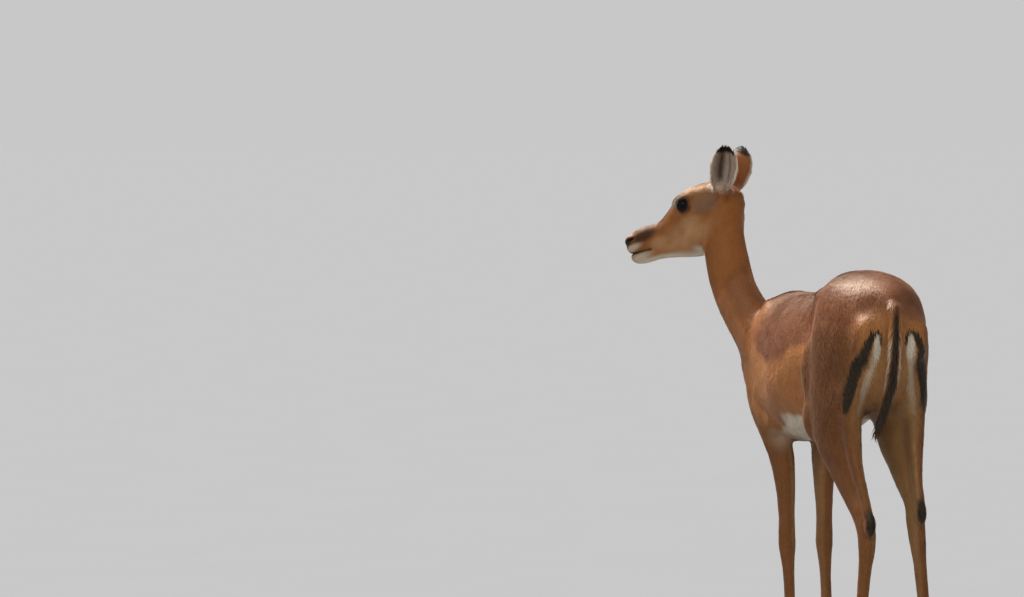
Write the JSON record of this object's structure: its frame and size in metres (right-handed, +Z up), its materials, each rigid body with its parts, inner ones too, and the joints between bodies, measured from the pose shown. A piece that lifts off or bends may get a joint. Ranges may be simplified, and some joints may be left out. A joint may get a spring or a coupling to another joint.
{
  "type": "impala antelope ewe",
  "caption": "Life-size still model of a hornless impala ewe standing on cloven hooves, neck turned so that she looks over her left side.",
  "frame": {"origin": "middle of the footprint of the whole model's box, on the floor under the soles", "axes": "+Z up, the trunk faces -Y, and the animal's left side is +X; the head is turned towards +X"},
  "size_m": [0.4156, 1.0656, 1.1099],
  "materials": {
    "brown_fur": "short sleek reddish-brown coat",
    "ear_fur": "short pale hair, black at the tip",
    "tail_fur": "longer hair with a black line and white edges",
    "wet_eye": "wet and glossy, nearly black",
    "hoof_horn": "smooth black horn"
  },
  "bodies": {
    "root": {"head": "brown_fur", "neck": "brown_fur", "trunk": "brown_fur", "foreleg_left": "brown_fur", "foreleg_right": "brown_fur", "hindleg_left": "brown_fur", "hindleg_right": "brown_fur", "ear_left": "ear_fur", "ear_right": "ear_fur", "tail": "tail_fur", "eye_left": "wet_eye", "eye_right": "wet_eye", "hoof_foreleg_left_left_claw": "hoof_horn", "hoof_foreleg_left_right_claw": "hoof_horn", "hoof_foreleg_right_left_claw": "hoof_horn", "hoof_foreleg_right_right_claw": "hoof_horn", "hoof_hindleg_left_left_claw": "hoof_horn", "hoof_hindleg_left_right_claw": "hoof_horn", "hoof_hindleg_right_left_claw": "hoof_horn", "hoof_hindleg_right_right_claw": "hoof_horn"}
  },
  "joints": []
}
